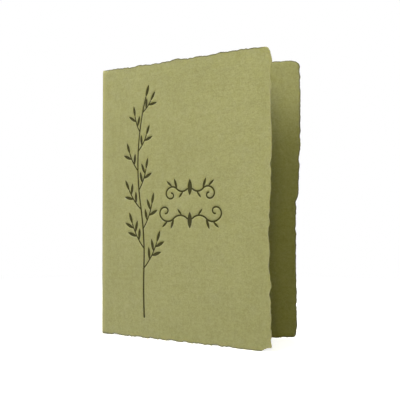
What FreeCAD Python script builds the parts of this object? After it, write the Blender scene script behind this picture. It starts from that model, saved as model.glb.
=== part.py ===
import FreeCAD, Part
import math
import os

import Sketcher

# Folded greeting card of one torn sheet of handmade paper, standing open on its foot.
# Millimetres. The fold is upright at -X, the leaves open towards +X, and the cover is on
# the -Y side. The origin is on the ground, in the middle of the card's footprint.
# The sheet thins to a torn edge all round, and the cover carries a spray of leaves and a
# scroll ornament pressed into the paper by a printing plate.

SIZES = [
    ("leaf_height", 156.8, "height of the sheet at the fold, foot to head"),
    ("leaf_width", 116.9, "outside of the fold to the cover's free edge, along the cover"),
    ("back_overhang", 1.2, "how much further than the cover the back leaf reaches"),
    ("cover_head_slant", 1.05, "rise of the cover's head from the fold to its free edge"),
    ("back_head_slant", 2.15, "rise of the back leaf's head from the fold to its free edge"),
    ("opening_angle", 23.4, "angle between the two leaves, in degrees"),
    ("sheet_thickness", 0.6, "thickness of the paper"),
    ("fold_inner_radius", 0.35, "inside radius of the crease"),
    ("bow_length", 4.0, "stretch beside the crease where a leaf springs in a bow"),
    ("bow_turn", 5.0, "turn of each bow, in degrees"),
    ("edge_thickness", 0.22, "thickness left at the torn edge"),
    ("feather_width", 1.8, "width over which the sheet thins to the torn edge"),
    ("head_tear", 0.7, "how far the torn edge wanders inwards at the head"),
    ("cover_foot_tear", 0.6, "how far it wanders inwards at the cover's foot"),
    ("back_foot_tear", 1.2, "how far it wanders inwards at the back leaf's foot"),
    ("side_tear", 0.6, "how far it wanders inwards at the free edges"),
    ("long_wave", 37.0, "longest wave of the torn edge"),
    ("middle_wave", 14.5, "middle wave of the torn edge"),
    ("short_wave", 7.3, "shortest wave of the torn edge"),
    ("outline_step", 2.2, "spacing of the points of the torn outline"),
    ("calm_run", 9.0, "stretch beside the fold where the tearing dies out"),
    ("corner_zone", 20.0, "reach of an edge's tearing round the corner, along the next edge"),
    ("cover_foot_setback", 14.0, "from the cover's free edge to the point it stands on"),
    ("back_foot_setback", 40.0, "from the back leaf's free edge to the point it stands on"),
    ("foot_span", 5.0, "half length of the bottom edge that bears on the ground"),
    ("cover_head_run", 2.4, "cover's top corner, width worn away"),
    ("cover_head_rise", 8.0, "cover's top corner, height worn away"),
    ("cover_foot_run", 9.0, "cover's bottom corner, width worn away"),
    ("cover_foot_rise", 2.6, "cover's bottom corner, height worn away"),
    ("back_head_run", 4.2, "back leaf's top corner, width worn away"),
    ("back_head_rise", 3.6, "back leaf's top corner, height worn away"),
    ("back_foot_run", 2.4, "back leaf's bottom corner, width worn away"),
    ("back_foot_rise", 3.4, "back leaf's bottom corner, height worn away"),
    ("hollow_height", 54.6, "middle of the hollow in the cover's free edge"),
    ("hollow_span", 88.0, "length of that hollow"),
    ("hollow_depth", 1.4, "depth of that hollow"),
    ("nick_height", 60.5, "middle of the nick in that hollow"),
    ("nick_span", 15.0, "length of that nick"),
    ("nick_depth", 0.55, "depth of that nick"),
    ("shelf_height", 105.8, "height of the upper, faint step in the back leaf's free edge"),
    ("shelf_span", 11.8, "length over which that step runs"),
    ("shelf_depth", 0.95, "depth of that step"),
    ("step_height", 79.9, "height of the lower step in the back leaf's free edge"),
    ("step_span", 7.0, "length over which that step runs"),
    ("step_depth", 1.75, "depth of that step"),
    ("step_recovery", 0.5, "part of that depth made good again on the way to the foot"),
    ("cover_head_phase", 14.2, "where the waves along the cover's head start"),
    ("cover_side_phase", 35.8, "where the waves along the cover's free edge start"),
    ("cover_foot_phase", 21.8, "where the waves along the cover's foot start"),
    ("back_head_phase", 25.8, "where the waves along the back leaf's head start"),
    ("back_side_phase", 38.0, "where the waves along the back leaf's free edge start"),
    ("back_foot_phase", 21.2, "where the waves along the back leaf's foot start"),
    ("press_depth", 0.2, "depth of the print pressed into the cover"),
    ("spray_margin", 33.0, "outside of the fold to the foot of the pressed spray's stem"),
    ("spray_foot_margin", 12.0, "foot of the cover to the foot of the spray"),
    ("spray_head_margin", 17.0, "tip of the spray to the head of the cover"),
    ("stem_width", 1.1, "width of the stem's line at its foot"),
    ("stem_tip_width", 0.8, "width of the stem's line at its tip"),
    ("twig_width", 0.75, "width of a twig's line"),
    ("twig_length", 17.5, "length of the longest twig"),
    ("blade_length", 7.4, "length of a leaf of the spray"),
    ("blade_width", 1.9, "width of a leaf of the spray"),
    ("ornament_margin", 51.9, "middle of the scroll ornament to the cover's free edge"),
    ("ornament_drop", 2.0, "how far the ornament's middle lies below the cover's"),
    ("row_gap", 16.4, "between the ornament's two rows"),
    ("upper_row_width", 34.0, "width of the ornament's upper row"),
    ("lower_row_width", 43.0, "width of the ornament's lower row"),
    ("scroll_width", 0.95, "width of a scroll's line"),
    ("bud_length", 9.2, "length of the bud in the middle of a row"),
    ("bud_width", 3.0, "width of that bud"),
]

# Part of the wandering that each wave of the torn edge makes, and how far an edge's phase
# moves that wave.
WAVES = (
    ("long_wave", 0.42, 1.0),
    ("middle_wave", 0.33, 2.3),
    ("short_wave", 0.25, 3.9),
)
CURVE_DEGREE = 3
SPANS_PER_PIECE = 12

# The pressed spray: heading of its stem in degrees, the stem's bends as (radius over the
# spray's height, turn in degrees), and the places of the twigs as shares of the stem.
STEM_HEADING = 94
STEM_BENDS = ((2.2, -6), (1.45, 12), (1.1, -27))
TWIG_COUNT = 9
FIRST_TWIG = 0.22
LAST_TWIG = 0.93
TWIG_ANGLE = 42
TWIG_TURN = 24
TWIG_SHRINK = 0.52
FIRST_BLADE = 0.36
BLADE_SPACING = 0.55
BLADE_ANGLE = 40
BLADE_SHRINK = 0.15

# The scroll ornament: heading of its scrolls in degrees, their bends as (radius over half
# the row's width, turn in degrees), and the leaves on them as (number of the bend, share
# along it, lean in degrees, size against a leaf of the spray).
SCROLL_HEADING = 42
UPPER_SCROLL = ((0.308, 85), (0.272, -100), (0.172, -150), (0.089, -150))
LOWER_SCROLL = ((0.324, 84), (0.287, -96), (0.157, -150), (0.079, -160))
SCROLL_BLADES = ((0, 0.98, 30, 0.85), (1, 0.45, 42, 0.7), (0, 0.4, -42, 0.65))


def make_sheet(doc):
    """The driving sizes, one row each."""
    sheet = doc.addObject("Spreadsheet::Sheet", "sizes")
    for row, (alias, value, meaning) in enumerate(SIZES, start=1):
        sheet.set(f"A{row}", str(value))
        sheet.setAlias(f"A{row}", alias)
        sheet.set(f"B{row}", meaning)
    doc.recompute()
    return sheet


def origin_plane(body, role):
    """One of the body's own origin planes."""
    return next(f for f in body.Origin.OriginFeatures if f.Role == role)


def upright(x, y, turn):
    """Where an upright sketch stands: its foot at x, y, turned about Z by so many degrees."""
    return FreeCAD.Placement(
        FreeCAD.Vector(x, 0, -y), FreeCAD.Rotation(FreeCAD.Vector(0, 1, 0), turn)
    )


def add_sketch(body, name, place):
    """An empty upright sketch: its x runs along the ground and its y is height."""
    sketch = body.newObject("Sketcher::SketchObject", name)
    sketch.AttachmentSupport = [(origin_plane(body, "XZ_Plane"), "")]
    sketch.MapMode = "FlatFace"
    sketch.AttachmentOffset = place
    return sketch


class Fold:
    """Where the crease, its two bows and the two flat leaves meet, seen from above.
    The middle of the crease is at x 0, y 0."""

    def __init__(self, sheet):
        self.middle_radius = sheet.fold_inner_radius + sheet.sheet_thickness / 2
        self.outer_radius = sheet.fold_inner_radius + sheet.sheet_thickness
        self.half_opening = sheet.opening_angle / 2
        self.bow_radius = sheet.bow_length / math.radians(sheet.bow_turn)
        crease = math.radians(90 - self.half_opening - sheet.bow_turn)
        reach = self.bow_radius - self.middle_radius
        self.bow_x = reach * math.cos(crease)
        self.bow_y = -reach * math.sin(crease)
        self.lean = math.radians(self.half_opening)
        self.leaf_x = self.bow_x - self.bow_radius * math.sin(self.lean)
        self.leaf_y = self.bow_y + self.bow_radius * math.cos(self.lean)
        self.leaf_start = self.outer_radius + sheet.bow_length

    def leaf_place(self, side, level):
        """Where a leaf's sketch stands, level being its distance outwards from mid paper."""
        x = self.leaf_x - level * math.sin(self.lean)
        y = self.leaf_y + level * math.cos(self.lean)
        return upright(x, side * y, side * self.half_opening)


def draw_edge_section(sketch, radius, radius_formula):
    """The paper cut across at the fold: full thickness, thinned at the foot and the head.
    radius is from the upright axis of the sketch to mid paper, towards -x."""
    sheet = sketch.Document.sizes
    across = (
        ("inner_face", "-", "sheet_thickness"),
        ("inner_edge", "-", "edge_thickness"),
        ("outer_edge", "+", "edge_thickness"),
        ("outer_face", "+", "sheet_thickness"),
    )
    heights = (
        ("sizes.feather_width", sheet.feather_width),
        ("0", 0.0),
        ("sizes.leaf_height", sheet.leaf_height),
        ("sizes.leaf_height - sizes.feather_width", sheet.leaf_height - sheet.feather_width),
    )
    # Corners in turn as (which distance, which height), for a closed outline.
    corners = ((0, 0), (1, 1), (2, 1), (3, 0), (3, 3), (2, 2), (1, 2), (0, 3))
    points = []
    for i, j in corners:
        name, sign, size = across[i]
        half = getattr(sheet, size) / 2
        distance = radius + half if sign == "+" else radius - half
        points.append(FreeCAD.Vector(-distance, heights[j][1], 0))
    for start, end in zip(points, points[1:] + points[:1]):
        sketch.addGeometry(Part.LineSegment(start, end), False)
    count = len(points)
    for line in range(count):
        sketch.addConstraint(
            Sketcher.Constraint("Coincident", line, 2, (line + 1) % count, 1)
        )
    for line, (i, j) in enumerate(corners):
        name, sign, size = across[i]
        bind(sketch, "DistanceX", line, f"{name}_{line}", -points[line].x,
             f"({radius_formula}) {sign} sizes.{size} / 2")
        formula, height = heights[j]
        if height:
            bind(sketch, "DistanceY", line, f"height_{line}", height, formula)
        else:
            sketch.addConstraint(Sketcher.Constraint("PointOnObject", line, 1, -1))


def bind(sketch, kind, line, name, value, formula):
    """Ties the start of a line to the sketch's origin by a named distance."""
    ends = (line, 1, -1, 1) if kind == "DistanceX" else (-1, 1, line, 1)
    index = sketch.addConstraint(Sketcher.Constraint(kind, *ends, value))
    sketch.renameConstraint(index, name)
    sketch.setExpression(f"Constraints.{name}", formula)


def add_turn(body, name, sketch, angle_formula):
    """Turns an edge section about the sketch's upright axis, half to each side."""
    turn = body.newObject("PartDesign::Revolution", name)
    turn.Profile = sketch
    turn.ReferenceAxis = (sketch, ["V_Axis"])
    turn.Midplane = True
    turn.setExpression("Angle", angle_formula)
    return turn


def add_fold(body, fold):
    """The crease, then the bow at each side of it."""
    middle = "sizes.fold_inner_radius + sizes.sheet_thickness / 2"
    section = add_sketch(body, "crease_section", upright(0, 0, 0))
    draw_edge_section(section, fold.middle_radius, middle)
    add_turn(body, "crease", section, "180 - sizes.opening_angle - 2 * sizes.bow_turn")
    bow = "sizes.bow_length * 180 / (pi * sizes.bow_turn)"
    for side, name in ((-1, "cover_bow"), (1, "back_bow")):
        sketch_turn = fold.half_opening - 90 + body.Document.sizes.bow_turn / 2
        place = upright(fold.bow_x, side * fold.bow_y, side * sketch_turn)
        section = add_sketch(body, f"{name}_section", place)
        draw_edge_section(section, fold.bow_radius, bow)
        add_turn(body, name, section, "sizes.bow_turn")


def ease(share):
    """From 0 to 1 with level ends, as share goes from 0 to 1."""
    share = min(max(share, 0.0), 1.0)
    return share * share * (3 - 2 * share)


def dip(distance, span):
    """A smooth dip of depth 1 at distance 0, that ends half a span to each side."""
    return 1 - ease(2 * abs(distance) / span)


def wander(sheet, distance, phase):
    """How far a torn edge wanders inwards at a distance along it, from 0 to 1."""
    total = 0.0
    for wave, part, shift in WAVES:
        angle = 2 * math.pi * distance / getattr(sheet, wave) + phase * shift
        total += part * math.sin(angle)
    return 0.5 + 0.5 * total


def spread(length, step):
    """Even places from 0 to length, about a step apart, without the last."""
    count = max(2, round(length / step))
    return [length * i / count for i in range(count)]


class Leaf:
    """The sizes of one leaf, name cover or back, side -1 for the cover and 1 for the back.
    width runs from the outside of the fold to the free edge, and loss tells how much paper
    is missing from that edge at a height."""

    def __init__(self, sheet, fold, name, side, width, loss):
        self.sheet = sheet
        self.name = name
        self.side = side
        self.loss = loss
        self.length = width - fold.leaf_start
        self.head_run = getattr(sheet, f"{name}_head_run")
        self.head_rise = getattr(sheet, f"{name}_head_rise")
        self.foot_run = getattr(sheet, f"{name}_foot_run")
        self.foot_rise = getattr(sheet, f"{name}_foot_rise")
        self.head_slant = getattr(sheet, f"{name}_head_slant")
        self.head_phase = getattr(sheet, f"{name}_head_phase")
        self.side_phase = getattr(sheet, f"{name}_side_phase")
        self.foot_phase = getattr(sheet, f"{name}_foot_phase")
        self.foot_setback = getattr(sheet, f"{name}_foot_setback")
        self.foot_tear = getattr(sheet, f"{name}_foot_tear")


def untorn_outline(leaf):
    """Points (x, height) round the three free sides of a leaf before tearing, from the
    fold's head to its foot, with the two free corners worn away."""
    height = leaf.sheet.leaf_height
    step = leaf.sheet.outline_step
    points = [(x, height) for x in spread(leaf.length - leaf.head_run, step)]
    points += worn_corner(leaf.length, height, leaf.head_run, leaf.head_rise, step, 1)
    side = spread(height - leaf.head_rise - leaf.foot_rise, step)
    points += [(leaf.length, height - leaf.head_rise - down) for down in side]
    points += worn_corner(leaf.length, 0.0, leaf.foot_run, leaf.foot_rise, step, -1)
    bottom = spread(leaf.length - leaf.foot_run, step)
    points += [(leaf.length - leaf.foot_run - back, 0.0) for back in bottom]
    points.append((0.0, 0.0))
    return points


def worn_corner(length, corner_height, run, rise, step, side):
    """A quarter of an ellipse in place of a corner, side 1 at the head and -1 at the foot."""
    points = []
    quarter = math.pi / 2
    for angle in spread(quarter, quarter * step / (run + rise)):
        turn = quarter - angle if side > 0 else angle
        x = length - run + run * math.cos(turn)
        height = corner_height - side * rise + side * rise * math.sin(turn)
        points.append((x, height))
    return points


def cover_loss(sheet, height):
    """Paper missing from the cover's free edge: a long hollow with a nick in it."""
    hollow = sheet.hollow_depth * dip(height - sheet.hollow_height, sheet.hollow_span)
    nick = sheet.nick_depth * dip(height - sheet.nick_height, sheet.nick_span)
    return hollow + nick


def back_loss(sheet, height):
    """Paper missing from the back leaf's free edge: two steps, the lower of them made good
    in part towards the foot."""
    under_shelf = ease(0.5 + (sheet.shelf_height - height) / sheet.shelf_span)
    under_step = ease(0.5 + (sheet.step_height - height) / sheet.step_span)
    made_good = sheet.step_recovery * max(0.0, 1 - height / sheet.step_height)
    return sheet.shelf_depth * under_shelf + (sheet.step_depth - made_good) * under_step


def torn_outline(leaf, feather):
    """The torn edge of a leaf, or with a feather width the line where the sheet is full."""
    sheet = leaf.sheet
    outline = []
    for x, height in untorn_outline(leaf):
        calm = ease(x / sheet.calm_run)
        from_foot = abs(x - leaf.length + leaf.foot_setback)
        rest = ease((from_foot - sheet.foot_span) / (2 * sheet.foot_span))
        head = sheet.head_tear * wander(sheet, x, leaf.head_phase) * calm
        head -= leaf.head_slant * x / leaf.length
        foot = leaf.foot_tear * wander(sheet, x, leaf.foot_phase) * calm * rest
        side = sheet.side_tear * wander(sheet, height, leaf.side_phase)
        side += leaf.loss(sheet, height)
        uneven = 0.4 * (wander(sheet, x + height, leaf.side_phase + 1) - 0.5) * calm
        thin = feather * (1 + uneven)
        near_side = ease(1 - (leaf.length - x) / sheet.corner_zone)
        near_head = ease(1 - (sheet.leaf_height - height) / sheet.corner_zone)
        near_foot = ease(1 - height / sheet.corner_zone)
        x -= (side + thin) * near_side
        height += (foot + thin) * near_foot - (head + thin) * near_head
        outline.append(FreeCAD.Vector(x, height, 0))
    return outline


def smooth_curves(poles):
    """A smooth curve from the first to the last of its poles, in pieces end to end."""
    spans = len(poles) - CURVE_DEGREE
    knots = [float(i) for i in range(spans + 1)]
    repeats = [CURVE_DEGREE + 1] + [1] * (spans - 1) + [CURVE_DEGREE + 1]
    whole = Part.BSplineCurve()
    whole.buildFromPolesMultsKnots(poles, repeats, knots, False, CURVE_DEGREE)
    cuts = list(range(0, spans - SPANS_PER_PIECE, SPANS_PER_PIECE)) + [spans]
    pieces = []
    for first, last in zip(cuts, cuts[1:]):
        piece = whole.copy()
        piece.segment(first, last)
        pieces.append(piece)
    return pieces


def add_leaf(body, fold, leaf):
    """One leaf, lofted through its outlines from the inner face to the outer face."""
    sheet = leaf.sheet
    torn = torn_outline(leaf, 0)
    full = torn_outline(leaf, sheet.feather_width)
    half = sheet.sheet_thickness / 2
    rim = sheet.edge_thickness / 2
    sections = []
    for level, outline in ((-half, full), (-rim, torn), (rim, torn), (half, full)):
        place = fold.leaf_place(leaf.side, level)
        sketch = add_sketch(body, f"{leaf.name}_outline_{len(sections) + 1}", place)
        for piece in smooth_curves(outline):
            sketch.addGeometry(piece, False)
        sketch.addGeometry(Part.LineSegment(outline[-1], outline[0]), False)
        sections.append(sketch)
    loft = body.newObject("PartDesign::AdditiveLoft", f"{leaf.name}_leaf")
    loft.Profile = sections[0]
    loft.Sections = sections[1:]
    loft.Ruled = True


class Bend:
    """One arc of a printed line. It starts at x, height along a heading, and turns by so
    much to the left, or with a negative turn to the right. Angles are in radians."""

    def __init__(self, x, height, heading, radius, turn):
        self.heading = heading
        self.radius = radius
        self.turn = turn
        self.side = math.copysign(1, turn)
        self.centre_x = x - self.side * radius * math.sin(heading)
        self.centre_height = height + self.side * radius * math.cos(heading)
        self.length = radius * abs(turn)

    def at(self, share, offset=0.0):
        """(x, height, heading) at a share of the arc, and so far to the left of it."""
        heading = self.heading + self.turn * share
        radius = self.radius - self.side * offset
        x = self.centre_x + self.side * radius * math.sin(heading)
        height = self.centre_height - self.side * radius * math.cos(heading)
        return x, height, heading


def bends(x, height, heading, moves):
    """The arcs of a line that starts at x, height and follows moves of (radius, turn)."""
    line = []
    for radius, turn in moves:
        line.append(Bend(x, height, heading, radius, math.radians(turn)))
        x, height, heading = line[-1].at(1)
    return line


def along(line, distance):
    """(x, height, heading) at a distance along a line."""
    for bend in line:
        if distance <= bend.length:
            return bend.at(distance / bend.length)
        distance -= bend.length
    return line[-1].at(1)


def arc_through(first, middle, last):
    """An arc through three points, each given as (x, height, heading)."""
    return Part.Arc(*(FreeCAD.Vector(p[0], p[1], 0) for p in (first, middle, last)))


def stroke(line, width, tip_width):
    """The outline of a line drawn with a width at its start and another at its tip."""
    total = sum(bend.length for bend in line)
    done = 0.0
    left = []
    right = []
    for bend in line:
        stops = [(share, (done + bend.length * share) / total) for share in (0, 0.5, 1)]
        halves = [(width + (tip_width - width) * part) / 2 for share, part in stops]
        shares = [share for share, part in stops]
        left.append([bend.at(s, half) for s, half in zip(shares, halves)])
        right.append([bend.at(s, -half) for s, half in zip(shares, halves)])
        done += bend.length
    right = [points[::-1] for points in right[::-1]]
    x, height, heading = line[-1].at(1)
    tip = (x + tip_width / 2 * math.cos(heading), height + tip_width / 2 * math.sin(heading))
    x, height, heading = line[0].at(0)
    root = (x - width / 2 * math.cos(heading), height - width / 2 * math.sin(heading))
    edges = [arc_through(*points) for points in left]
    edges.append(arc_through(left[-1][-1], tip, right[0][0]))
    edges += [arc_through(*points) for points in right]
    edges.append(arc_through(right[-1][-1], root, left[0][0]))
    return edges


def blade(x, height, heading, length, width):
    """The outline of a pointed leaf that grows from x, height along a heading."""
    ahead = (math.cos(heading), math.sin(heading))
    root = (x, height)
    tip = (x + length * ahead[0], height + length * ahead[1])
    middle = (x + length / 2 * ahead[0], height + length / 2 * ahead[1])
    left = (middle[0] - width / 2 * ahead[1], middle[1] + width / 2 * ahead[0])
    right = (middle[0] + width / 2 * ahead[1], middle[1] - width / 2 * ahead[0])
    return [arc_through(root, left, tip), arc_through(tip, right, root)]


def press(body, place, name, outlines):
    """Presses closed outlines into the cover's outer face."""
    sketch = add_sketch(body, f"{name}_print", place)
    for outline in outlines:
        for edge in outline:
            sketch.addGeometry(edge, False)
    pocket = body.newObject("PartDesign::Pocket", name)
    pocket.Profile = sketch
    pocket.setExpression("Length", "sizes.press_depth")


def spray(sheet, cover, leaf_start):
    """The pressed spray: outlines of its stem, of its twigs and of its leaves."""
    height = sheet.leaf_height - sheet.spray_foot_margin - sheet.spray_head_margin
    rise = height - sheet.blade_length
    moves = [(radius * rise, turn) for radius, turn in STEM_BENDS]
    foot_x = sheet.spray_margin - leaf_start
    heading = math.radians(STEM_HEADING)
    stem = bends(foot_x, sheet.spray_foot_margin, heading, moves)
    stem_length = sum(bend.length for bend in stem)
    twigs = []
    blades = [blade(*along(stem, stem_length), sheet.blade_length, sheet.blade_width)]
    for number in range(TWIG_COUNT):
        share = number / (TWIG_COUNT - 1)
        place = FIRST_TWIG + (LAST_TWIG - FIRST_TWIG) * share
        x, height, heading = along(stem, stem_length * place)
        side = 1 if number % 2 else -1
        heading += side * math.radians(TWIG_ANGLE)
        length = sheet.twig_length * (1 - TWIG_SHRINK * share)
        twig = bends(x, height, heading, [(length / math.radians(TWIG_TURN), -side * TWIG_TURN)])
        twigs.append(stroke(twig, sheet.twig_width, sheet.twig_width))
        blade_length = sheet.blade_length * (1 - BLADE_SHRINK * share)
        blade_width = sheet.blade_width * (1 - BLADE_SHRINK * share)
        pairs = int(length / (BLADE_SPACING * sheet.blade_length))
        for pair in range(pairs):
            at = FIRST_BLADE + (1 - FIRST_BLADE) * pair / pairs
            x, height, heading = twig[0].at(at)
            lean = side * math.radians(BLADE_ANGLE) * (1 if pair % 2 else -1)
            blades.append(blade(x, height, heading + lean, blade_length, blade_width))
        blades.append(blade(*twig[0].at(1), blade_length, blade_width))
    return [stroke(stem, sheet.stem_width, sheet.stem_tip_width)], twigs, blades


def ornament_row(sheet, middle_x, height, row_width, upright_way, scroll):
    """One row of the scroll ornament, alike on both sides of its middle: outlines of its
    scrolls and of its leaves. upright_way is 1 for a row that faces up and -1 for down."""
    reach = row_width / 2
    quarter = math.pi / 2
    bud_root = height - upright_way * 0.4 * sheet.bud_length
    bud = blade(middle_x, bud_root, upright_way * quarter, sheet.bud_length, sheet.bud_width)
    strokes = []
    blades = [bud]
    for side in (1, -1):
        heading = -upright_way * math.radians(SCROLL_HEADING)
        if side < 0:
            heading = math.pi - heading
        moves = [(share * reach, side * upright_way * turn) for share, turn in scroll]
        start = middle_x + side * 0.6 * sheet.bud_width
        line = bends(start, height, heading, moves)
        strokes.append(stroke(line, sheet.scroll_width, sheet.scroll_width))
        for bend, share, lean, size in SCROLL_BLADES:
            x, up, heading = line[bend].at(share)
            heading += side * upright_way * math.radians(lean)
            length = size * sheet.blade_length
            blades.append(blade(x, up, heading, length, size * sheet.blade_width))
    return strokes, blades


def add_print(body, fold, cover):
    """The spray at the left of the cover and the scroll ornament at its right."""
    sheet = cover.sheet
    face = fold.leaf_place(cover.side, sheet.sheet_thickness / 2)
    stem, twigs, blades = spray(sheet, cover, fold.leaf_start)
    press(body, face, "spray_stem", stem)
    press(body, face, "spray_twigs", twigs)
    press(body, face, "spray_leaves", blades)
    middle_x = cover.length - sheet.ornament_margin
    middle = sheet.leaf_height / 2 - sheet.ornament_drop
    upper = ornament_row(
        sheet, middle_x, middle + sheet.row_gap / 2, sheet.upper_row_width, 1, UPPER_SCROLL
    )
    lower = ornament_row(
        sheet, middle_x, middle - sheet.row_gap / 2, sheet.lower_row_width, -1, LOWER_SCROLL
    )
    press(body, face, "ornament_scrolls", upper[0] + lower[0])
    press(body, face, "ornament_leaves", upper[1] + lower[1])


def check_document(doc):
    """Stops if any object failed to build."""
    for item in doc.Objects:
        if "Invalid" in item.State or "Error" in item.State:
            raise RuntimeError(f"{item.Name} did not build: {item.State}")


def build():
    doc = FreeCAD.newDocument("greeting_card")
    sheet = make_sheet(doc)
    fold = Fold(sheet)
    back_width = sheet.leaf_width + sheet.back_overhang
    cover = Leaf(sheet, fold, "cover", -1, sheet.leaf_width, cover_loss)
    back = Leaf(sheet, fold, "back", 1, back_width, back_loss)
    card = doc.addObject("PartDesign::Body", "folded_card")
    card.Label = "folded_card"
    add_fold(card, fold)
    doc.recompute()
    add_leaf(card, fold, cover)
    doc.recompute()
    add_leaf(card, fold, back)
    doc.recompute()
    add_print(card, fold, cover)
    reach = fold.leaf_x + max(cover.length, back.length) * math.cos(fold.lean)
    card.Placement.Base = FreeCAD.Vector((fold.outer_radius - reach) / 2, 0, 0)
    doc.recompute()
    check_document(doc)
    return doc, card


def main():
    doc, card = build()
    if card.Shape.isNull() or not card.Shape.isValid():
        raise RuntimeError("the card's shape is not valid")
    os.makedirs("parts", exist_ok=True)
    card.Shape.exportStep("parts/folded_card.step")
    box = card.Shape.BoundBox
    print("box", box)
    print("solids", len(card.Shape.Solids), "volume", round(card.Shape.Volume, 1))


main()
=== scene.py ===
"""Folded greeting card of thick green handmade paper, standing partly open on its foot.

The card is one closed mesh. It is laid out flat, as the sheet was before folding, with
its torn edge and its pressed print, and is then bent round the crease. Sizes are in
millimetres up to the point where the mesh is made."""

import math

import bpy
import numpy as np
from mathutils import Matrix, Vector, geometry


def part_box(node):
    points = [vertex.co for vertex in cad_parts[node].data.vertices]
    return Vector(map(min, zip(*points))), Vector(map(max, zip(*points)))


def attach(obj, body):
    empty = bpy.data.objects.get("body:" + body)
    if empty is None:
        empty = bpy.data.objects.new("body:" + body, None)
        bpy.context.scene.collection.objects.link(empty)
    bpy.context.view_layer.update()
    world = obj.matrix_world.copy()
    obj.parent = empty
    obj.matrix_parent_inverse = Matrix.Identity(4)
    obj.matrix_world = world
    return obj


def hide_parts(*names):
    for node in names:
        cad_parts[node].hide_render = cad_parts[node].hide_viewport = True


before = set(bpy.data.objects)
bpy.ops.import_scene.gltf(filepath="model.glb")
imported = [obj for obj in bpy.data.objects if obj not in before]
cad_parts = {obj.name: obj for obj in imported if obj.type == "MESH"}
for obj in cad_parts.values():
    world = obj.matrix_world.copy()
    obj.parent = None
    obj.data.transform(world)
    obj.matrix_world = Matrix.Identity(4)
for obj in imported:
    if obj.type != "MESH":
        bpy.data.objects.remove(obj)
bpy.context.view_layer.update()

MM = 0.001

# The sheet, in millimetres and degrees, as in the solid model.
LEAF_HEIGHT = 156.8
LEAF_WIDTH = 116.9
BACK_OVERHANG = 1.2
OPENING_ANGLE = 23.4
SHEET_THICKNESS = 0.6
FOLD_INNER_RADIUS = 0.35
BOW_LENGTH = 4.0
BOW_TURN = 5.0
FEATHER_WIDTH = 1.8
HEAD_TEAR = 0.7
SIDE_TEAR = 0.6
CALM_RUN = 9.0
CORNER_ZONE = 20.0
FOOT_SPAN = 5.0
HOLLOW_HEIGHT = 54.6
HOLLOW_SPAN = 88.0
HOLLOW_DEPTH = 1.4
NICK_HEIGHT = 60.5
NICK_SPAN = 15.0
NICK_DEPTH = 0.55
SHELF_HEIGHT = 105.8
SHELF_SPAN = 11.8
SHELF_DEPTH = 0.95
STEP_HEIGHT = 79.9
STEP_SPAN = 7.0
STEP_DEPTH = 1.75
STEP_RECOVERY = 0.5
# Waves of the torn edge: length, share of the wandering, and how the phase moves.
WAVES = ((37.0, 0.42, 1.0), (14.5, 0.33, 2.3), (7.3, 0.25, 3.9))

# The print, in millimetres and degrees, as in the solid model.
PRESS_DEPTH = 0.2
SPRAY_MARGIN = 33.0
SPRAY_FOOT_MARGIN = 12.0
SPRAY_HEAD_MARGIN = 17.0
STEM_WIDTH = 1.1
STEM_TIP_WIDTH = 0.8
TWIG_WIDTH = 0.75
TWIG_LENGTH = 17.5
BLADE_LENGTH = 7.4
BLADE_WIDTH = 1.9
ORNAMENT_MARGIN = 51.9
ORNAMENT_DROP = 2.0
ROW_GAP = 16.4
UPPER_ROW_WIDTH = 34.0
LOWER_ROW_WIDTH = 43.0
SCROLL_WIDTH = 0.95
BUD_LENGTH = 9.2
BUD_WIDTH = 3.0
STEM_HEADING = 94
STEM_BENDS = ((2.2, -6), (1.45, 12), (1.1, -27))
TWIG_COUNT = 9
FIRST_TWIG = 0.22
LAST_TWIG = 0.93
TWIG_ANGLE = 42
TWIG_TURN = 24
TWIG_SHRINK = 0.52
FIRST_BLADE = 0.36
BLADE_SPACING = 0.55
BLADE_ANGLE = 40
BLADE_SHRINK = 0.15
SCROLL_HEADING = 42
UPPER_SCROLL = ((0.308, 85), (0.272, -100), (0.172, -150), (0.089, -150))
LOWER_SCROLL = ((0.324, 84), (0.287, -96), (0.157, -150), (0.079, -160))
SCROLL_BLADES = ((0, 0.98, 30, 0.85), (1, 0.45, 42, 0.7), (0, 0.4, -42, 0.65))

# Finer form than the solid model has, in millimetres. First the rim: how thin it gets, in
# general and along the cover's free edge, how wide the band of that thicker rim is, over how
# much of it the rim changes, how uneven the thinning is, and how full its slope is.
RIM_THICKNESS = 0.16
SIDE_RIM_THICKNESS = 0.38
OPENING_BAND = 7.0
OPENING_FADE = 3.0
FEATHER_UNEVEN = 0.28
FEATHER_BULGE = 0.85
# How much of the room that the thinning leaves a rim curls into, and how much that varies.
RIM_CURL = 0.8
CURL_UNEVEN = 0.11
# The cockling of the leaves, and where it starts beside the fold and is in full.
COCKLE = 0.12
COCKLE_START = 4.0
COCKLE_RUN = 14.0
# How far the wall of a pressed line reaches outside and inside the line.
SHOULDER = 0.30
BITE = 0.12
PRESS_FLOOR = 0.8 * BITE
# The fray on top of the torn edge: length and size of each of its waves. It fades towards a
# leaf's root, and a free side's own fray, SIDE_REACH wide, fades towards the corners.
FRAY_WAVES = ((3.4, 0.65), (1.4, 0.4), (0.7, 0.22))
ROOT_FADE = 3.0
HEAD_FADE = 16.0
FOOT_FADE = 24.0
SIDE_REACH = 5.0
# How far from its free edge a leaf's head starts to droop.
DROOP_REACH = 8.0

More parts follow.
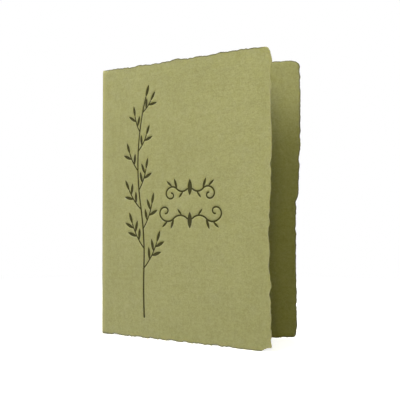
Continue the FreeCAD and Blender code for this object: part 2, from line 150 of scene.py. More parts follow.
# How finely the mesh is laid out, in millimetres and counts.
OUTLINE_STEP = 0.45
GRID_STEP = 1.5
GRID_JITTER = 0.16
COLUMN_SHARE = 0.87
PRINT_STEP = 0.34
CORNER_POINTS = 24
CREASE_COLUMNS = 15
BOW_POINTS = 7
BOW_COLUMNS = 5
ROUND_END_POINTS = 6
RIM_RINGS = (0.16, 0.42, 0.78, 1.2, 1.7, 2.3, 3.0)
FULL_RINGS = 3
RING_TOLERANCE = 0.06
GRID_CLEARANCE = 3.5
PRINT_RINGS = (SHOULDER, SHOULDER / 2, -BITE, -2.6 * BITE)
PRINT_RING_TOLERANCE = 0.035
PRINT_RING_SPACING = 0.2
PRINT_CLEARANCE = 0.7
PRINT_REACH = 1.0
FOLD_STRETCH = 9.0
EDGE_MEASURED = 8.0
FOLD_MEASURED = 20.0

# Where the crease, its bows and the flat leaves meet.
HALF_OPENING = math.radians(OPENING_ANGLE / 2)
CREASE_TURN = math.pi / 2 - HALF_OPENING - math.radians(BOW_TURN)
MIDDLE_RADIUS = FOLD_INNER_RADIUS + SHEET_THICKNESS / 2
OUTER_RADIUS = FOLD_INNER_RADIUS + SHEET_THICKNESS
BOW_RADIUS = BOW_LENGTH / math.radians(BOW_TURN)
CREASE_REACH = MIDDLE_RADIUS * CREASE_TURN
LEAF_START = CREASE_REACH + BOW_LENGTH
WIDTH_BEFORE_LEAF = OUTER_RADIUS + BOW_LENGTH


def ease(share):
    """From 0 to 1 with level ends, as share goes from 0 to 1."""
    share = np.clip(share, 0.0, 1.0)
    return share * share * (3 - 2 * share)


def dip(distance, span):
    """A smooth dip of depth 1 at distance 0, that ends half a span to each side."""
    return 1 - ease(2 * np.abs(distance) / span)


def wander(distance, phase):
    """How far a torn edge wanders inwards at a distance along it, from 0 to 1."""
    total = 0.0
    for wave, part, shift in WAVES:
        total = total + part * np.sin(2 * math.pi * distance / wave + phase * shift)
    return 0.5 + 0.5 * total


def rough_line(distance, step, seed):
    """Smooth random values from -1 to 1 along a line, one new value each step."""
    count = 4096
    values = np.random.RandomState(seed).uniform(-1, 1, count)
    place = distance / step
    whole = np.floor(place).astype(int)
    share = ease(place - whole)
    return values[whole % count] * (1 - share) + values[(whole + 1) % count] * share


def ripple(flat, across, up, phase=0.0):
    """A wave over the flat sheet, of so many radians a millimetre across and up it."""
    return np.sin(flat[:, 0] * across + flat[:, 1] * up + phase)


def cover_loss(height):
    """Paper missing from the cover's free edge: a long hollow with a nick in it."""
    hollow = HOLLOW_DEPTH * dip(height - HOLLOW_HEIGHT, HOLLOW_SPAN)
    return hollow + NICK_DEPTH * dip(height - NICK_HEIGHT, NICK_SPAN)


def back_loss(height):
    """Paper missing from the back leaf's free edge: two steps, the lower of them made good
    in part towards the foot."""
    under_shelf = ease(0.5 + (SHELF_HEIGHT - height) / SHELF_SPAN)
    under_step = ease(0.5 + (STEP_HEIGHT - height) / STEP_SPAN)
    made_good = STEP_RECOVERY * np.maximum(0.0, 1 - height / STEP_HEIGHT)
    return SHELF_DEPTH * under_shelf + (STEP_DEPTH - made_good) * under_step


class Cover:
    """The front leaf. Its worn corners and its fray are finer than in the solid model."""
    length = LEAF_WIDTH - WIDTH_BEFORE_LEAF
    head_run, head_rise, head_droop = 3.0, 8.0, 0.55
    foot_run, foot_rise, foot_cut = 6.2, 2.7, 2
    head_slant = 1.05
    foot_tear = 0.6
    foot_setback = 14.0
    head_phase, side_phase, foot_phase = 14.2, 35.8, 21.8
    loss = staticmethod(cover_loss)
    head_fray, side_fray, foot_fray = 0.42, 1.05, 0.6
    seed = 387


class Back:
    """The back leaf, with finer corners and fray as well."""
    length = LEAF_WIDTH + BACK_OVERHANG - WIDTH_BEFORE_LEAF
    head_run, head_rise, head_droop = 3.2, 3.6, 0.3
    foot_run, foot_rise, foot_cut = 3.0, 5.0, 1
    head_slant = 2.15
    foot_tear = 1.2
    foot_setback = 40.0
    head_phase, side_phase, foot_phase = 25.8, 38.0, 21.2
    loss = staticmethod(back_loss)
    head_fray, side_fray, foot_fray = 0.42, 0.42, 0.42
    seed = 2174


def even_points(corners, step):
    """Points about a step apart along a line through corners, with both its ends."""
    corners = np.asarray(corners, float)
    gaps = np.linalg.norm(np.diff(corners, axis=0), axis=1)
    travelled = np.concatenate([[0.0], np.cumsum(gaps)])
    count = max(2, int(round(travelled[-1] / step)) + 1)
    places = np.linspace(0, travelled[-1], count)
    across = np.interp(places, travelled, corners[:, 0])
    up = np.interp(places, travelled, corners[:, 1])
    return np.column_stack([across, up]), places


def untorn_outline(leaf):
    """The three free sides of a leaf before tearing, from the fold's head to its foot. A
    bottom corner with a foot_cut of 1 is round, one with 2 is cut straight across."""
    turn = np.linspace(math.pi / 2, 0, CORNER_POINTS)
    head_x = leaf.length - leaf.head_run + leaf.head_run * np.cos(turn)
    head_up = LEAF_HEIGHT - leaf.head_rise + leaf.head_rise * np.sin(turn)
    foot_x = leaf.length - leaf.foot_run * (1 - np.cos(turn[::-1]) ** leaf.foot_cut)
    foot_up = leaf.foot_rise * (1 - np.sin(turn[::-1]) ** leaf.foot_cut)
    line = [(0.0, LEAF_HEIGHT)]
    line += list(zip(head_x, head_up)) + list(zip(foot_x, foot_up))
    line.append((0.0, 0.0))
    return even_points(line, OUTLINE_STEP)


def torn_outline(leaf):
    """The torn edge of a leaf as points (distance from its root, height)."""
    points, travelled = untorn_outline(leaf)
    x, height = points[:, 0], points[:, 1]
    calm = ease(x / CALM_RUN)
    from_foot = np.abs(x - leaf.length + leaf.foot_setback)
    rest = ease((from_foot - FOOT_SPAN) / (2 * FOOT_SPAN))
    head = HEAD_TEAR * wander(x, leaf.head_phase) * calm - leaf.head_slant * x / leaf.length
    head += leaf.head_droop * ease(1 - (leaf.length - x) / DROOP_REACH)
    foot = leaf.foot_tear * wander(x, leaf.foot_phase) * calm * rest
    side = SIDE_TEAR * wander(height, leaf.side_phase) + leaf.loss(height)
    near_side = ease(1 - (leaf.length - x) / CORNER_ZONE)
    near_head = ease(1 - (LEAF_HEIGHT - height) / CORNER_ZONE)
    near_foot = ease(1 - height / CORNER_ZONE)
    torn = np.column_stack([x - side * near_side, height + foot * near_foot - head * near_head])
    ahead = np.gradient(torn, axis=0)
    ahead /= np.linalg.norm(ahead, axis=1)[:, None]
    inward = np.column_stack([ahead[:, 1], -ahead[:, 0]])
    fray = 0.0
    for number, (wave, size) in enumerate(FRAY_WAVES):
        fray = fray + size * rough_line(travelled, wave, leaf.seed + number)
    standing = np.where(height < CORNER_ZONE / 2, rest, 1.0)
    on_side = ease(1 - (leaf.length - x) / SIDE_REACH)
    on_side *= ease((LEAF_HEIGHT - height) / HEAD_FADE) * ease(height / FOOT_FADE)
    level_fray = np.where(height < LEAF_HEIGHT / 2, leaf.foot_fray, leaf.head_fray)
    strength = level_fray + (leaf.side_fray - level_fray) * on_side
    depth = fray * strength * ease(x / ROOT_FADE) * standing
    return torn + inward * depth[:, None]


def sheet_outline():
    """The torn edge of the whole sheet laid flat: x from the crease, cover at -x."""
    back = torn_outline(Back)
    back[:, 0] += LEAF_START
    cover = torn_outline(Cover)
    cover[:, 0] = -(cover[:, 0] + LEAF_START)
    across = np.concatenate([
        np.linspace(-LEAF_START, -CREASE_REACH, BOW_POINTS)[1:-1],
        np.linspace(-CREASE_REACH, CREASE_REACH, CREASE_COLUMNS),
        np.linspace(CREASE_REACH, LEAF_START, BOW_POINTS)[1:-1],
    ])
    foot = np.column_stack([across[::-1], np.zeros(len(across))])
    head = np.column_stack([across, np.full(len(across), LEAF_HEIGHT)])
    return np.concatenate([back, foot, cover[::-1], head])


class Bend:
    """One arc of a printed line, from a point along a heading, turning left by turn."""

    def __init__(self, x, height, heading, radius, turn):
        self.heading = heading
        self.radius = radius
        self.turn = turn
        self.side = math.copysign(1, turn)
        self.centre_x = x - self.side * radius * math.sin(heading)
        self.centre_height = height + self.side * radius * math.cos(heading)
        self.length = radius * abs(turn)

    def at(self, share, offset=0.0):
        """(x, height, heading) at a share of the arc, and so far to the left of it."""
        heading = self.heading + self.turn * share
        radius = self.radius - self.side * offset
        x = self.centre_x + self.side * radius * math.sin(heading)
        height = self.centre_height - self.side * radius * math.cos(heading)
        return x, height, heading


def bends(x, height, heading, moves):
    """The arcs of a line that starts at x, height and follows moves of (radius, turn)."""
    line = []
    for radius, turn in moves:
        line.append(Bend(x, height, heading, radius, math.radians(turn)))
        x, height, heading = line[-1].at(1)
    return line


def along(line, distance):
    """(x, height, heading) at a distance along a line."""
    for bend in line:
        if distance <= bend.length:
            return bend.at(distance / bend.length)
        distance -= bend.length
    return line[-1].at(1)


def stroke(line, width, tip_width):
    """The closed outline of a line with a width at its start and another at its tip."""
    total = sum(bend.length for bend in line)
    left, right = [], []
    done = 0.0
    for bend in line:
        count = max(3, int(bend.length / PRINT_STEP))
        for share in np.linspace(0, 1, count, endpoint=False):
            half = (width + (tip_width - width) * (done + bend.length * share) / total) / 2
            left.append(bend.at(share, half)[:2])
            right.append(bend.at(share, -half)[:2])
        done += bend.length
    x, height, heading = line[-1].at(1)
    tip = []
    for turn in np.linspace(math.pi / 2, -math.pi / 2, ROUND_END_POINTS):
        angle = heading + turn
        tip.append((x + tip_width / 2 * math.cos(angle), height + tip_width / 2 * math.sin(angle)))
    x, height, heading = line[0].at(0)
    root = []
    for turn in np.linspace(-math.pi / 2, -3 * math.pi / 2, ROUND_END_POINTS)[1:-1]:
        angle = heading + turn
        root.append((x + width / 2 * math.cos(angle), height + width / 2 * math.sin(angle)))
    return np.array(left + tip + right[::-1] + root)


def blade(x, height, heading, length, width):
    """The closed outline of a pointed leaf that grows from x, height along a heading."""
    bulge = width / 2
    radius = (length ** 2 / 4 + bulge ** 2) / (2 * bulge)
    half_turn = math.asin(length / 2 / radius)
    count = max(6, int(length / PRINT_STEP))
    angles = np.linspace(-half_turn, half_turn, count, endpoint=False)
    ahead = length / 2 + radius * np.sin(angles)
    aside = radius * np.cos(angles) - (radius - bulge)
    ahead = np.concatenate([ahead, length - ahead])
    aside = np.concatenate([aside, -aside])
    x = x + ahead * math.cos(heading) - aside * math.sin(heading)
    height = height + ahead * math.sin(heading) + aside * math.cos(heading)
    return np.column_stack([x, height])


def spray():
    """Outlines of the pressed spray: its stem, its twigs and its leaves."""
    height = LEAF_HEIGHT - SPRAY_FOOT_MARGIN - SPRAY_HEAD_MARGIN
    rise = height - BLADE_LENGTH
    moves = [(radius * rise, turn) for radius, turn in STEM_BENDS]
    foot_x = SPRAY_MARGIN - WIDTH_BEFORE_LEAF
    stem = bends(foot_x, SPRAY_FOOT_MARGIN, math.radians(STEM_HEADING), moves)
    stem_length = sum(bend.length for bend in stem)
    outlines = [stroke(stem, STEM_WIDTH, STEM_TIP_WIDTH)]
    outlines.append(blade(*along(stem, stem_length), BLADE_LENGTH, BLADE_WIDTH))
    for number in range(TWIG_COUNT):
        share = number / (TWIG_COUNT - 1)
        place = FIRST_TWIG + (LAST_TWIG - FIRST_TWIG) * share
        x, height, heading = along(stem, stem_length * place)
        side = 1 if number % 2 else -1
        heading += side * math.radians(TWIG_ANGLE)
        length = TWIG_LENGTH * (1 - TWIG_SHRINK * share)
        move = (length / math.radians(TWIG_TURN), -side * TWIG_TURN)
        twig = bends(x, height, heading, [move])
        outlines.append(stroke(twig, TWIG_WIDTH, TWIG_WIDTH))
        size = 1 - BLADE_SHRINK * share
        pairs = int(length / (BLADE_SPACING * BLADE_LENGTH))
        for pair in range(pairs):
            x, height, heading = twig[0].at(FIRST_BLADE + (1 - FIRST_BLADE) * pair / pairs)
            heading += side * math.radians(BLADE_ANGLE) * (1 if pair % 2 else -1)
            outlines.append(blade(x, height, heading, BLADE_LENGTH * size, BLADE_WIDTH * size))
        outlines.append(blade(*twig[0].at(1), BLADE_LENGTH * size, BLADE_WIDTH * size))
    return outlines


def ornament_row(middle_x, height, row_width, upright_way, scroll):
    """Outlines of one row of the scroll ornament, alike on both sides of its middle."""
    bud_root = height - upright_way * 0.4 * BUD_LENGTH
    outlines = [blade(middle_x, bud_root, upright_way * math.pi / 2, BUD_LENGTH, BUD_WIDTH)]
    for side in (1, -1):
        heading = -upright_way * math.radians(SCROLL_HEADING)
        if side < 0:
            heading = math.pi - heading
        moves = [(share * row_width / 2, side * upright_way * turn) for share, turn in scroll]
        line = bends(middle_x + side * 0.6 * BUD_WIDTH, height, heading, moves)
        outlines.append(stroke(line, SCROLL_WIDTH, SCROLL_WIDTH))
        for bend, share, lean, size in SCROLL_BLADES:
            x, up, heading = line[bend].at(share)
            heading += side * upright_way * math.radians(lean)
            outlines.append(blade(x, up, heading, size * BLADE_LENGTH, size * BLADE_WIDTH))
    return outlines


def print_outlines():
    """Every outline of the print, with x measured from the root of the cover."""
    middle_x = Cover.length - ORNAMENT_MARGIN
    middle = LEAF_HEIGHT / 2 - ORNAMENT_DROP
    outlines = spray()
    outlines += ornament_row(middle_x, middle + ROW_GAP / 2, UPPER_ROW_WIDTH, 1, UPPER_SCROLL)
    outlines += ornament_row(middle_x, middle - ROW_GAP / 2, LOWER_ROW_WIDTH, -1, LOWER_SCROLL)
    return outlines


def distance_to_line(points, line):
    """Distance from each point to a closed line of points, worked out batch by batch."""
    batch = 2000
    run = np.roll(line, -1, axis=0) - line
    run_length = np.maximum((run ** 2).sum(1), 1e-12)
    nearest = np.empty(len(points))
    for first in range(0, len(points), batch):
        part = points[first:first + batch]
        offset = part[:, None, :] - line[None, :, :]
        share = np.clip((offset * run).sum(2) / run_length, 0, 1)
        gap = offset - share[..., None] * run
        nearest[first:first + batch] = np.sqrt((gap ** 2).sum(2).min(1))
    return nearest


def inside(points, outline):
    """Which points lie inside a closed outline."""
    held = np.zeros(len(points), bool)
    x, up = points[:, 0], points[:, 1]
    ends = np.roll(outline, -1, axis=0)
    for (x1, up1), (x2, up2) in zip(outline, ends):
        if up1 == up2:
            continue
        crosses = (up1 > up) != (up2 > up)
        held ^= crosses & (x < (x2 - x1) * (up - up1) / (up2 - up1) + x1)
    return held


def print_distance(points, outlines):
    """Distance from the nearest edge of the print, negative inside it, at most PRINT_REACH."""
    nearest = np.full(len(points), PRINT_REACH)
    for outline in outlines:
        low, high = outline.min(0) - PRINT_REACH, outline.max(0) + PRINT_REACH
        near = np.flatnonzero(((points > low) & (points < high)).all(1))
        if not len(near):
            continue
        gap = distance_to_line(points[near], outline)
        gap[inside(points[near], outline)] *= -1
        nearest[near] = np.minimum(nearest[near], gap)
    return nearest


def offset_outline(outline, distance):
    """Points beside a closed outline, so far outwards, or inwards when negative."""
    ahead = np.roll(outline, -1, axis=0) - np.roll(outline, 1, axis=0)
    ahead /= np.maximum(np.linalg.norm(ahead, axis=1), 1e-9)[:, None]
    x, up = outline[:, 0], outline[:, 1]
    turning = (x * np.roll(up, -1) - np.roll(x, -1) * up).sum()
    outward = np.column_stack([ahead[:, 1], -ahead[:, 0]]) * math.copysign(1, turning)
    return outline + outward * distance


def widen_fold(x):
    """Spreads the narrow crease out, so that the flat layout has room for its columns."""
    bend = np.clip(x, -CREASE_REACH, CREASE_REACH)
    return x + bend * (FOLD_STRETCH - 1)


def narrow_fold(x):
    """Undoes widen_fold."""
    reach = CREASE_REACH * FOLD_STRETCH
    bend = np.clip(x, -reach, reach)
    return x - bend * (1 - 1 / FOLD_STRETCH)


def grid_points(outline, rng):
    """Points over the whole sheet: even columns at the fold, a jittered grid elsewhere."""
    rows = int(round(LEAF_HEIGHT / GRID_STEP))
    heights = np.linspace(0, LEAF_HEIGHT, rows + 1)[1:-1]
    columns = np.concatenate([
        np.linspace(-LEAF_START, -CREASE_REACH, BOW_COLUMNS)[:-1],
        np.linspace(-CREASE_REACH, CREASE_REACH, CREASE_COLUMNS),
        np.linspace(CREASE_REACH, LEAF_START, BOW_COLUMNS)[1:],
    ])
    fold = np.array([(x, up) for x in columns for up in heights])
    flats = []
    for side, length in ((-1, Cover.length), (1, Back.length)):
        across = np.arange(LEAF_START + GRID_STEP, LEAF_START + length, GRID_STEP * COLUMN_SHARE)
        for number, x in enumerate(across):
            up = np.arange(0.5 * GRID_STEP * (number % 2), LEAF_HEIGHT + 2 * GRID_STEP, GRID_STEP)
            flats.append(np.column_stack([np.full(len(up), side * x), up]))
    flat = np.concatenate(flats)
    flat += rng.uniform(-GRID_JITTER, GRID_JITTER, flat.shape) * GRID_STEP
    return fold, flat


def rim_points(outline):
    """Rings of points inside the torn edge, where the sheet thins out."""
    rings = []
    for number, ring in enumerate(RIM_RINGS):
        skip = 1 if number < FULL_RINGS else 2
        points = offset_outline(outline, -ring)[::skip]
        points = points[np.abs(points[:, 0]) > LEAF_START + 0.5]
        gap = distance_to_line(points, outline)
        rings.append(points[np.abs(gap - ring) < RING_TOLERANCE])
    return np.concatenate(rings)


def thin_out(points, spacing):
    """Drops points that crowd a point kept before them."""
    seen = set()
    kept = []
    for index, (x, up) in enumerate(points):
        cell = (int(x / spacing), int(up / spacing))
        if cell in seen:
            continue
        seen.add(cell)
        kept.append(index)
    return points[kept]


def lay_out(outline, extra_points, loops):
    """Triangles over the flat sheet, through the given points and along the given loops.
    Returns the points, the triangles, and where the outline's points are among them."""
    points = [outline, extra_points]
    edges = []
    start = len(outline) + len(extra_points)
    for loop in loops:
        count = len(loop)
        edges += [(start + i, start + (i + 1) % count) for i in range(count)]
        points.append(loop)
        start += count
    points = np.concatenate(points)
    flat = [Vector((float(widen_fold(x)), float(up))) for x, up in points]
    rim = [list(range(len(outline)))]
    inside_only, merge_distance, with_sources = 1, 1e-6, True
    made = geometry.delaunay_2d_cdt(flat, edges, rim, inside_only, merge_distance, with_sources)
    corners = np.array([(narrow_fold(v[0]), v[1]) for v in made[0]])
    triangles = np.array(made[2])
    triangles = triangles[inside(corners[triangles].mean(1), outline)]
    place_of = np.full(len(outline), -1)
    for index, sources in enumerate(made[3]):
        for source in sources:
            if source < len(outline):
                place_of[source] = index
    return corners, triangles, place_of


def bend_sheet(flat, level):
    """Bends flat points (x from the crease, height) to the standing card, so far out from
    mid paper, in millimetres with the middle of the crease at x 0, y 0."""
    side = np.where(flat[:, 0] < 0, -1.0, 1.0)
    reach = np.abs(flat[:, 0])
    in_crease = np.minimum(reach, CREASE_REACH) / MIDDLE_RADIUS
    in_bow = np.clip(reach - CREASE_REACH, 0, BOW_LENGTH) / BOW_RADIUS
    straight = np.maximum(reach - LEAF_START, 0)
    turn = in_crease + in_bow
    shift = np.where(reach > CREASE_REACH, MIDDLE_RADIUS - BOW_RADIUS, 0.0)
    radius = np.where(reach > CREASE_REACH, BOW_RADIUS, MIDDLE_RADIUS)
    x = -shift * math.cos(CREASE_TURN) - (radius + level) * np.cos(turn)
    y = shift * math.sin(CREASE_TURN) + (radius + level) * np.sin(turn)
    x += straight * math.cos(HALF_OPENING)
    y += straight * math.sin(HALF_OPENING)
    return np.column_stack([x, side * y, flat[:, 1]])


def beside_opening(flat):
    """1 along the cover's free edge, and 0 elsewhere."""
    return ease((-flat[:, 0] - LEAF_START - Cover.length + OPENING_BAND) / OPENING_FADE)


def sheet_half_thickness(flat, edge_distance):
    """Half the paper's thickness: full in the middle, thinning to the torn edge, and less
    so at the cover's free edge."""
    rim = RIM_THICKNESS + (SIDE_RIM_THICKNESS - RIM_THICKNESS) * beside_opening(flat)
    patch = ripple(flat, 0.21, 0.13) * ripple(flat, -0.17, 0.31)
    feather = FEATHER_WIDTH * (1 + FEATHER_UNEVEN * patch)
    share = np.clip(edge_distance / feather, 0, 1)
    full = share ** FEATHER_BULGE * (1 + FEATHER_BULGE - FEATHER_BULGE * share)
    return (rim + (SHEET_THICKNESS - rim) * np.minimum(full, 1)) / 2


def sheet_bow(flat, half_thickness):
    """How far mid paper lies from its plane: faint cockling inwards, and a curl outwards
    at the torn edge, which stays within the paper's full thickness."""
    cockle = ripple(flat, 0.083, 0, 1.1) * ripple(flat, 0, 0.071, 0.4)
    cockle += 0.6 * ripple(flat, 0.151, 0.094, 2.0)
    cockle += 0.35 * ripple(flat, -0.06, 0.21, 0.7)
    curl = ripple(flat, 0.23, 0.29) + 0.7 * ripple(flat, -0.39, 0.47, 1.9)
    curl = (RIM_CURL + CURL_UNEVEN * curl) * (SHEET_THICKNESS / 2 - half_thickness)
    beyond_fold = ease((np.abs(flat[:, 0]) - COCKLE_START) / COCKLE_RUN)
    return beyond_fold * (curl - COCKLE * (0.98 + 0.5 * cockle))


def print_rings(laid):
    """Rings of points beside the edges of the laid print, outside and inside them."""
    rings = [offset_outline(loop, offset) for loop in laid for offset in PRINT_RINGS]
    rings = np.concatenate(rings)
    gap = print_distance(rings, laid)
    missed = np.minimum.reduce([np.abs(gap - offset) for offset in PRINT_RINGS])
    return thin_out(rings[missed < PRINT_RING_TOLERANCE], PRINT_RING_SPACING)


def make_sheet():
    """The whole card as one closed mesh: its points and faces, and for each point its
    distances from the torn edge and from the print and its place on the flat sheet."""
    rng = np.random.RandomState(5)
    outline = sheet_outline()
    laid = [np.column_stack([-(o[:, 0] + LEAF_START), o[:, 1]]) for o in print_outlines()]
    fold_columns, grid = grid_points(outline, rng)
    rim = rim_points(outline)
    grid = grid[inside(grid, outline)]
    grid = grid[distance_to_line(grid, outline) > GRID_CLEARANCE]
    open_grid = grid[print_distance(grid, laid) > PRINT_CLEARANCE]
    printed_side = np.concatenate([rim, fold_columns, open_grid, print_rings(laid)])
    plain_side = np.concatenate([rim, fold_columns, grid])
    outer, outer_faces, outer_rim = lay_out(outline, printed_side, laid)
    inner, inner_faces, inner_rim = lay_out(outline, plain_side, [])

    parts = []
    for flat, is_outer in ((outer, True), (inner, False)):
        edge = distance_to_line(flat, outline)
        half = sheet_half_thickness(flat, edge)
        if is_outer:
            printed = print_distance(flat, laid)
            pressed = ease((SHOULDER - printed) / (SHOULDER + PRESS_FLOOR))
            level = half - PRESS_DEPTH * pressed
        else:
            printed = np.full(len(flat), PRINT_REACH)
            level = -half
        level = level + sheet_bow(flat, half)
        parts.append((bend_sheet(flat, level), edge, printed, flat))

    points, edge, printed, flat = (np.concatenate(column) for column in zip(*parts))
    count = len(outer)
    faces = [tuple(face) for face in orient(outer_faces, points, 1)]
    faces += [tuple(face) for face in orient(inner_faces + count, points, -1)]
    rim_count = len(outline)
    for i in range(rim_count):
        j = (i + 1) % rim_count
        a, b = outer_rim[i], outer_rim[j]
        c, d = inner_rim[j] + count, inner_rim[i] + count
        faces.append((a, d, c, b))
    return points, faces, edge, printed, flat


def orient(triangles, points, way):
    """Turns triangles so that they face outwards (way 1) or into the fold (way -1)."""
    a, b, c = (points[triangles[:, k]] for k in range(3))
    normal = np.cross(b - a, c - a)
    middle = (a + b + c) / 3
    side = np.where(middle[:, 1] < 0, -1.0, 1.0)
    outward = np.column_stack([
        np.full(len(middle), -math.sin(HALF_OPENING)),
        side * math.cos(HALF_OPENING),
        np.zeros(len(middle)),
    ])
    wrong = (normal * outward).sum(1) * way < 0
    turned = triangles.copy()
    turned[wrong] = turned[wrong][:, ::-1]
    return turned


def card_mesh():
    """The card's mesh in metres in the frame, with the measures that its paper reads."""
    points, faces, edge, printed, flat = make_sheet()
    low, high = (np.array(corner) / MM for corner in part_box("folded_card"))
    place = points + np.array([low[0] + OUTER_RADIUS, 0, 0])
    place = np.clip(place, low, high)
    mesh = bpy.data.meshes.new("card_sheet")
    mesh.from_pydata([tuple(p) for p in place * MM], [], faces)
    mesh.validate()
    for name, values in (
        ("edge_distance", np.minimum(edge, EDGE_MEASURED)),
        ("print_distance", printed),
        ("fold_distance", np.minimum(np.abs(flat[:, 0]), FOLD_MEASURED)),
        ("beside_opening", beside_opening(flat)),
    ):
        layer = mesh.attributes.new(name, "FLOAT", "POINT")
        layer.data.foreach_set("value", values.astype(np.float32))
    mesh.shade_smooth()
    card = bpy.data.objects.new("card_paper_sheet", mesh)
    bpy.context.scene.collection.objects.link(card)
    return card


def srgb(red, green, blue):
    """A colour read as 0 to 255 in the usual way, as the shader wants it."""
    def part(value):
        value /= 255
        return value / 12.92 if value <= 0.04045 else ((value + 0.055) / 1.055) ** 2.4
    return (part(red), part(green), part(blue), 1.0)


class Nodes:
    """A short way to write down a node tree."""

    def __init__(self, tree):
        self.tree = tree

    def add(self, kind, values=None, **settings):
        node = self.tree.nodes.new(kind)
        for name, value in settings.items():
            setattr(node, name, value)
        for name, value in (values or {}).items():
            self.feed(node.inputs[name], value)
        return node

    def feed(self, socket, value):
        if isinstance(value, bpy.types.NodeSocket):
            self.tree.links.new(value, socket)
        else:
            socket.default_value = value

    def math(self, operation, first, second=0.0):
        return self.add("ShaderNodeMath", {0: first, 1: second}, operation=operation).outputs[0]

    def noise(self, place, scale, detail=2.0, roughness=0.5):
        values = {"Vector": place, "Scale": scale, "Detail": detail, "Roughness": roughness}
        return self.add("ShaderNodeTexNoise", values).outputs[0]

    def stretch(self, place, scale):
        return self.add("ShaderNodeMapping", {"Vector": place, "Scale": scale}).outputs[0]

    def span(self, value, low, high, to_low=0.0, to_high=1.0):
        values = {0: value, 1: low, 2: high, 3: to_low, 4: to_high}
        return self.add("ShaderNodeMapRange", values, interpolation_type="SMOOTHSTEP").outputs[0]

    def mix(self, share, first, second):
        node = self.add("ShaderNodeMix", data_type="RGBA")
        self.feed(node.inputs[0], share)
        self.feed(node.inputs[6], first)
        self.feed(node.inputs[7], second)
        return node.outputs[2]

    def measure(self, name):
        node = self.add("ShaderNodeAttribute", attribute_name=name, attribute_type="GEOMETRY")
        return node.outputs["Fac"]


def make_handmade_paper():
    """Uncoated cotton paper, dyed sage green, with dark printing ink in the pressed print."""
    material = bpy.data.materials.new("handmade_sage_paper")
    material.use_nodes = True
    tree = material.node_tree
    tree.nodes.clear()
    n = Nodes(tree)
    place = n.add("ShaderNodeTexCoord").outputs["Object"]
    edge = n.measure("edge_distance")
    printed = n.measure("print_distance")
    fold = n.measure("fold_distance")
    beside_opening = n.measure("beside_opening")

    blotches = n.noise(place, 520.0, 3.0, 0.55)
    clouds = n.noise(place, 34.0, 2.0, 0.5)
    fibres = n.noise(place, 1150.0, 4.0, 0.65)
    upright_marks = n.noise(n.stretch(place, (1.0, 1.0, 0.22)), 620.0, 2.0, 0.5)
    level_marks = n.noise(n.stretch(place, (0.2, 0.2, 1.0)), 560.0, 2.0, 0.5)
    upright_marks = n.math("MULTIPLY", upright_marks, 0.55)
    felt = n.math("ADD", upright_marks, n.math("MULTIPLY", level_marks, 0.45))

    green = srgb(168, 166, 118)
    pale_green = srgb(176, 174, 129)
    deep_green = srgb(149, 147, 99)
    colour = n.mix(n.span(blotches, 0.35, 0.68), green, pale_green)
    colour = n.mix(n.math("MULTIPLY", n.span(clouds, 0.4, 0.62), 0.18), colour, deep_green)
    colour = n.mix(n.math("MULTIPLY", n.span(fibres, 0.38, 0.66), 0.6), colour, deep_green)
    colour = n.mix(n.math("MULTIPLY", n.span(felt, 0.42, 0.6), 0.30), colour, pale_green)

    upright_place = n.stretch(place, (1.0, 1.0, 0.45))
    flecks = n.add("ShaderNodeTexVoronoi", {"Vector": upright_place, "Scale": 420.0})
    fleck = n.span(flecks.outputs["Distance"], 0.02, 0.1, 1.0, 0.0)
    fleck = n.math("MULTIPLY", fleck, n.span(n.noise(place, 160.0, 1.0), 0.56, 0.64))
    colour = n.mix(n.math("MULTIPLY", fleck, 0.35), colour, srgb(196, 194, 150))

    # Along the torn edge the colour turns a darker grey: painted shade where the thinning rim
    # catches less light. Along the cover's free edge it turns paler instead: a painted highlight
    # where that edge catches the light.
    ragged = n.math("MULTIPLY", n.math("SUBTRACT", fibres, 0.5), 0.5)
    torn = n.span(n.math("ADD", edge, ragged), 0.0, 0.85, 1.0, 0.0)
    painted_rim_shade_and_highlight = n.mix(beside_opening, srgb(86, 86, 70), srgb(174, 170, 128))
    colour = n.mix(n.math("MULTIPLY", torn, 0.9), colour, painted_rim_shade_and_highlight)
    # A lighter band along the crease: partly wear of the cracked fibres at the fold, partly a
    # painted highlight where the bowed crease catches the light.
    crease_wear_and_highlight = n.span(fold, 0.6, 4.5, 1.0, 0.0)
    colour = n.mix(n.math("MULTIPLY", crease_wear_and_highlight, 0.6), colour, srgb(187, 182, 133))

    creep = n.math("MULTIPLY", n.math("SUBTRACT", fibres, 0.5), 0.16)
    inked = n.span(n.math("ADD", printed, creep), -0.03, 0.035, 1.0, 0.0)
    ink = n.mix(n.span(fibres, 0.3, 0.75), srgb(46, 44, 14), srgb(58, 55, 20))
    ink = n.mix(n.math("MULTIPLY", n.span(blotches, 0.4, 0.7), 0.25), ink, srgb(68, 65, 28))
    colour = n.mix(inked, colour, ink)

    tooth = n.math("ADD", n.math("MULTIPLY", fibres, 0.6), n.math("MULTIPLY", felt, 0.8))
    tooth = n.math("ADD", tooth, n.math("MULTIPLY", blotches, 0.9))
    fray = n.math("MULTIPLY", n.noise(place, 1500.0, 3.0, 0.7), n.math("MULTIPLY", torn, 1.6))
    tooth = n.math("ADD", tooth, fray)
    flat_print = n.math("SUBTRACT", 1.0, n.math("MULTIPLY", inked, 0.5))
    tooth = n.math("MULTIPLY", tooth, flat_print)
    bump = n.add("ShaderNodeBump", {"Strength": 0.62, "Distance": 0.00022, "Height": tooth})

    roughness = n.math("SUBTRACT", 0.93, n.math("MULTIPLY", inked, 0.2))
    paper = n.add("ShaderNodeBsdfPrincipled", {
        "Base Color": colour,
        "Roughness": roughness,
        "Normal": bump.outputs["Normal"],
        "Specular IOR Level": 0.25,
        "Subsurface Weight": n.math("SUBTRACT", 1.0, inked),
        "Subsurface Radius": (1.0, 1.0, 0.6),
        "Subsurface Scale": 0.0005,
    })
    out = n.add("ShaderNodeOutputMaterial")
    tree.links.new(paper.outputs["BSDF"], out.inputs["Surface"])
    return material


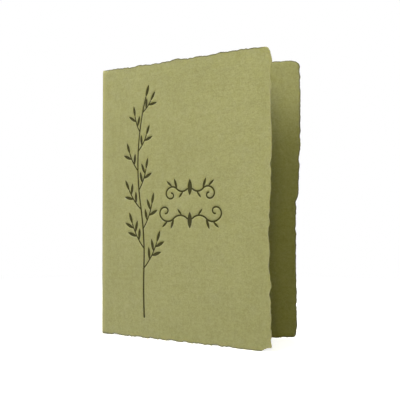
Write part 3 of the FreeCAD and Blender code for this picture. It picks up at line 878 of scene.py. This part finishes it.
def seen_directly(n):
    """1 where the camera, or a mirror or glass in between, looks straight at a surface."""
    path = n.add("ShaderNodeLightPath").outputs
    seen = n.math("MAXIMUM", path["Is Camera Ray"], path["Is Glossy Ray"])
    return n.math("MAXIMUM", seen, path["Is Transmission Ray"])


# The floor, in metres: its width, and how far out the card's shadow starts and stops fading.
FLOOR_WIDTH = 12
SHADOW_REACH = (0.22, 0.5)


def make_floor():
    """A plain pale floor that looks white where it is lit and keeps the card's shadow."""
    bpy.ops.mesh.primitive_plane_add(size=FLOOR_WIDTH, location=(0, 0, 0))
    floor = bpy.context.object
    floor.name = "studio_floor"
    material = bpy.data.materials.new("pale_floor")
    material.use_nodes = True
    tree = material.node_tree
    tree.nodes.clear()
    n = Nodes(tree)
    place = n.add("ShaderNodeTexCoord").outputs["Object"]
    away = n.add("ShaderNodeVectorMath", {0: place}, operation="LENGTH").outputs["Value"]
    near = n.add("ShaderNodeBsdfDiffuse", {"Color": (0.8, 0.78, 0.68, 1)}).outputs[0]
    glow = n.add("ShaderNodeEmission", {"Color": (1, 1, 1, 1), "Strength": 0.66}).outputs[0]
    near = n.add("ShaderNodeAddShader", {0: near, 1: glow}).outputs[0]
    white = n.add("ShaderNodeEmission", {"Color": (1, 1, 1, 1), "Strength": 1.0}).outputs[0]
    far = n.span(away, *SHADOW_REACH)
    shown = n.add("ShaderNodeMixShader", {0: far, 1: near, 2: white}).outputs[0]
    unseen = n.add("ShaderNodeBsdfDiffuse", {"Color": (0.04, 0.04, 0.03, 1)}).outputs[0]
    surface = n.add("ShaderNodeMixShader", {0: seen_directly(n), 1: unseen, 2: shown})
    out = n.add("ShaderNodeOutputMaterial")
    tree.links.new(surface.outputs[0], out.inputs["Surface"])
    floor.data.materials.append(material)


def make_world():
    """White to look at, and a soft fill for the card."""
    world = bpy.data.worlds.new("studio")
    bpy.context.scene.world = world
    world.use_nodes = True
    tree = world.node_tree
    tree.nodes.clear()
    n = Nodes(tree)
    fill = n.add("ShaderNodeBackground", {"Color": (1.0, 0.97, 0.6, 1), "Strength": 0.07}).outputs[0]
    white = n.add("ShaderNodeBackground", {"Color": (1, 1, 1, 1), "Strength": 1.0}).outputs[0]
    surface = n.add("ShaderNodeMixShader", {0: seen_directly(n), 1: fill, 2: white})
    out = n.add("ShaderNodeOutputWorld")
    tree.links.new(surface.outputs[0], out.inputs["Surface"])


# The point that the large soft boxes are aimed at, in metres.
CARD_MIDDLE = (0, 0, 0.08)


def aim(thing, target):
    """Points a lamp or the camera at a target, with its top upwards."""
    away = Vector(target) - thing.location
    thing.rotation_euler = away.to_track_quat("-Z", "Y").to_euler()


def make_lamp(name, location, target, size, power, colour=(1.0, 1.0, 1.0)):
    """A square soft box."""
    data = bpy.data.lights.new(name, "AREA")
    data.shape = "SQUARE"
    data.size = size
    data.energy = power
    data.color = colour
    lamp = bpy.data.objects.new(name, data)
    lamp.location = location
    bpy.context.scene.collection.objects.link(lamp)
    aim(lamp, target)


# The view, fitted to the card's outline: where the camera stands, in metres, and its way.
CAMERA_PLACE = Vector((0.183977, -0.407197, 0.068267))
CAMERA_WAY = Vector((-0.400742, 0.915889, 0.023519))


def make_camera():
    """The photograph's view: from the right of the card's middle, almost level."""
    data = bpy.data.cameras.new("view")
    data.sensor_width = 36
    data.sensor_fit = "HORIZONTAL"
    data.lens = 70.7
    data.clip_start = 0.01
    camera = bpy.data.objects.new("view", data)
    camera.location = CAMERA_PLACE
    bpy.context.scene.collection.objects.link(camera)
    aim(camera, CAMERA_PLACE + CAMERA_WAY)
    bpy.context.scene.camera = camera


card = card_mesh()
card.data.materials.append(make_handmade_paper())
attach(card, "root")
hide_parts("folded_card")

make_floor()
make_world()
make_lamp("key_soft_box", (-0.75, -1.25, 1.15), CARD_MIDDLE, 1.1, 30.1)
make_lamp("top_soft_box", (0.0, -0.25, 1.5), CARD_MIDDLE, 1.0, 8.0, (0.88, 0.96, 1.45))
make_lamp("warm_fill", (0.25, -0.585, 0.32), (0.04, 0, 0.1), 0.18, 1.02, (1.0, 0.96, 0.1))
make_lamp("side_fill", (0.115, -0.42, 0.24), (0.045, 0.02, 0.1), 0.11, 0.09)
make_lamp("opening_fill", (1.03, 0.34, 0.59), (0.03, 0, 0.08), 0.5, 2.6)
make_lamp("back_soft_box", (-0.55, 1.25, 0.75), CARD_MIDDLE, 1.0, 22)
make_camera()
bpy.context.scene.view_settings.view_transform = "Standard"
